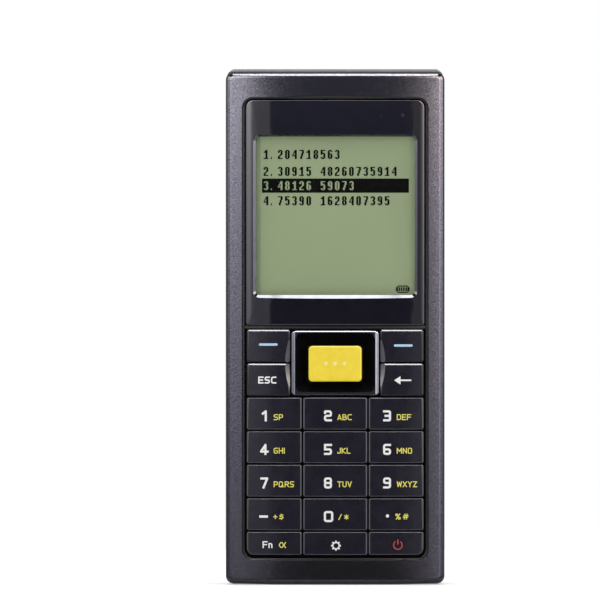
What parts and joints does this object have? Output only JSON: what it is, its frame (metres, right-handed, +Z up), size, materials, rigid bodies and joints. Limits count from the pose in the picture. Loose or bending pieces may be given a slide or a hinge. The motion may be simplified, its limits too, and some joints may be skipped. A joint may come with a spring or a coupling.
{
  "type": "portable barcode data terminal",
  "caption": "Handheld barcode terminal with a green graphic display, numeric keypad, yellow scan key in a navigation ring, scan head at the top and a hinged battery cover on the back.",
  "frame": {"origin": "centre of the footprint, on the plane that the base stands on", "axes": "+Z up along the length of the terminal, -Y out of the keypad and display, +X to the user's right"},
  "size_m": [0.0576, 0.03, 0.1356],
  "materials": {
    "housing_front": "metallic-painted ABS, fine satin grain",
    "housing_rear": "moulded ABS, spark-eroded matt texture",
    "seal_rubber": "matt silicone",
    "screw_steel": "zinc-plated steel",
    "gloss_black": "gloss-lacquered polycarbonate",
    "window_clear": "hard-coated clear acrylic",
    "lcd_green": "reflective twisted-nematic glass",
    "light_guide": "white moulded polycarbonate",
    "ribbon_amber": "polyimide film",
    "light_pipe": "clear moulded light pipe, unlit",
    "board_green": "solder-masked glass epoxy",
    "component_black": "moulded epoxy",
    "silicone_dark": "moulded silicone",
    "dome_steel": "thin stainless steel",
    "scan_yellow": "gloss moulded polycarbonate",
    "window_red": "red filter acrylic",
    "battery_wrap": "moulded polycarbonate pack",
    "contact_gold": "gold-plated spring bronze",
    "latch_grey": "moulded ABS"
  },
  "bodies": {
    "terminal": {"front_housing": "housing_front", "rear_housing": "housing_rear", "housing_seal": "seal_rubber", "case_screws": "screw_steel", "display_bezel": "gloss_black", "display_window": "window_clear", "display_gasket": "seal_rubber", "lcd_glass": "lcd_green", "lcd_backlight": "light_guide", "lcd_frame": "light_guide", "lcd_ribbon": "ribbon_amber", "status_lights": "light_pipe", "main_board": "board_green", "board_components": "component_black", "board_screws": "screw_steel", "keypad_mat": "silicone_dark", "dome_sheet": "dome_steel", "scan_window": "window_red", "scan_engine": "component_black", "scan_bracket": "dome_steel", "buzzer": "component_black", "backup_cell": "dome_steel", "battery_pack": "battery_wrap", "battery_springs": "contact_gold", "dock_block": "component_black", "dock_contacts": "contact_gold"},
    "key_soft_left": {"key_soft_left": "gloss_black"},
    "key_soft_right": {"key_soft_right": "gloss_black"},
    "key_escape": {"key_escape": "gloss_black"},
    "key_back": {"key_back": "gloss_black"},
    "key_1": {"key_1": "gloss_black"},
    "key_2": {"key_2": "gloss_black"},
    "key_3": {"key_3": "gloss_black"},
    "key_4": {"key_4": "gloss_black"},
    "key_5": {"key_5": "gloss_black"},
    "key_6": {"key_6": "gloss_black"},
    "key_7": {"key_7": "gloss_black"},
    "key_8": {"key_8": "gloss_black"},
    "key_9": {"key_9": "gloss_black"},
    "key_minus": {"key_minus": "gloss_black"},
    "key_0": {"key_0": "gloss_black"},
    "key_point": {"key_point": "gloss_black"},
    "key_fn": {"key_fn": "gloss_black"},
    "key_settings": {"key_settings": "gloss_black"},
    "key_power": {"key_power": "gloss_black"},
    "nav_rocker": {"nav_rocker": "light_guide"},
    "nav_ring": {"nav_ring": "gloss_black"},
    "scan_key": {"scan_key": "scan_yellow"},
    "battery_cover": {"battery_cover": "housing_rear"},
    "battery_latch": {"battery_latch": "latch_grey"}
  },
  "joints": [
    {"name": "key_soft_left_press", "type": "slide", "parent": "terminal", "child": "key_soft_left", "axis": [0, 1, 0], "range_m": [0, 0.0007], "stiffness_N_per_m": 500},
    {"name": "key_soft_right_press", "type": "slide", "parent": "terminal", "child": "key_soft_right", "axis": [0, 1, 0], "range_m": [0, 0.0007], "stiffness_N_per_m": 500},
    {"name": "key_escape_press", "type": "slide", "parent": "terminal", "child": "key_escape", "axis": [0, 1, 0], "range_m": [0, 0.0007], "stiffness_N_per_m": 500},
    {"name": "key_back_press", "type": "slide", "parent": "terminal", "child": "key_back", "axis": [0, 1, 0], "range_m": [0, 0.0007], "stiffness_N_per_m": 500},
    {"name": "key_1_press", "type": "slide", "parent": "terminal", "child": "key_1", "axis": [0, 1, 0], "range_m": [0, 0.0007], "stiffness_N_per_m": 500},
    {"name": "key_2_press", "type": "slide", "parent": "terminal", "child": "key_2", "axis": [0, 1, 0], "range_m": [0, 0.0007], "stiffness_N_per_m": 500},
    {"name": "key_3_press", "type": "slide", "parent": "terminal", "child": "key_3", "axis": [0, 1, 0], "range_m": [0, 0.0007], "stiffness_N_per_m": 500},
    {"name": "key_4_press", "type": "slide", "parent": "terminal", "child": "key_4", "axis": [0, 1, 0], "range_m": [0, 0.0007], "stiffness_N_per_m": 500},
    {"name": "key_5_press", "type": "slide", "parent": "terminal", "child": "key_5", "axis": [0, 1, 0], "range_m": [0, 0.0007], "stiffness_N_per_m": 500, "deforming": ["keypad_mat"]},
    {"name": "key_6_press", "type": "slide", "parent": "terminal", "child": "key_6", "axis": [0, 1, 0], "range_m": [0, 0.0007], "stiffness_N_per_m": 500},
    {"name": "key_7_press", "type": "slide", "parent": "terminal", "child": "key_7", "axis": [0, 1, 0], "range_m": [0, 0.0007], "stiffness_N_per_m": 500},
    {"name": "key_8_press", "type": "slide", "parent": "terminal", "child": "key_8", "axis": [0, 1, 0], "range_m": [0, 0.0007], "stiffness_N_per_m": 500},
    {"name": "key_9_press", "type": "slide", "parent": "terminal", "child": "key_9", "axis": [0, 1, 0], "range_m": [0, 0.0007], "stiffness_N_per_m": 500},
    {"name": "key_minus_press", "type": "slide", "parent": "terminal", "child": "key_minus", "axis": [0, 1, 0], "range_m": [0, 0.0007], "stiffness_N_per_m": 500},
    {"name": "key_0_press", "type": "slide", "parent": "terminal", "child": "key_0", "axis": [0, 1, 0], "range_m": [0, 0.0007], "stiffness_N_per_m": 500},
    {"name": "key_point_press", "type": "slide", "parent": "terminal", "child": "key_point", "axis": [0, 1, 0], "range_m": [0, 0.0007], "stiffness_N_per_m": 500},
    {"name": "key_fn_press", "type": "slide", "parent": "terminal", "child": "key_fn", "axis": [0, 1, 0], "range_m": [0, 0.0007], "stiffness_N_per_m": 500},
    {"name": "key_settings_press", "type": "slide", "parent": "terminal", "child": "key_settings", "axis": [0, 1, 0], "range_m": [0, 0.0007], "stiffness_N_per_m": 500},
    {"name": "key_power_press", "type": "slide", "parent": "terminal", "child": "key_power", "axis": [0, 1, 0], "range_m": [0, 0.0007], "stiffness_N_per_m": 500},
    {"name": "scan_key_press", "type": "slide", "parent": "terminal", "child": "scan_key", "axis": [0, 1, 0], "range_m": [0, 0.0008], "stiffness_N_per_m": 600},
    {"name": "nav_up_down", "type": "hinge", "parent": "terminal", "child": "nav_rocker", "pos_m": [0, -0.0102, 0.05828], "axis": [1, 0, 0], "range_deg": [-1.8, 1.8], "stiffness_Nm_per_rad": 0.4},
    {"name": "nav_left_right", "type": "hinge", "parent": "nav_rocker", "child": "nav_ring", "pos_m": [0, -0.011, 0.05828], "axis": [0, 0, 1], "range_deg": [-1.8, 1.8], "stiffness_Nm_per_rad": 0.4},
    {"name": "battery_cover_swing", "type": "hinge", "parent": "terminal", "child": "battery_cover", "pos_m": [0, 0.0119, 0.0576], "axis": [1, 0, 0], "range_deg": [0, 100]},
    {"name": "battery_latch_slide", "type": "slide", "parent": "battery_cover", "child": "battery_latch", "axis": [1, 0, 0], "range_m": [0, 0.003]}
  ]
}
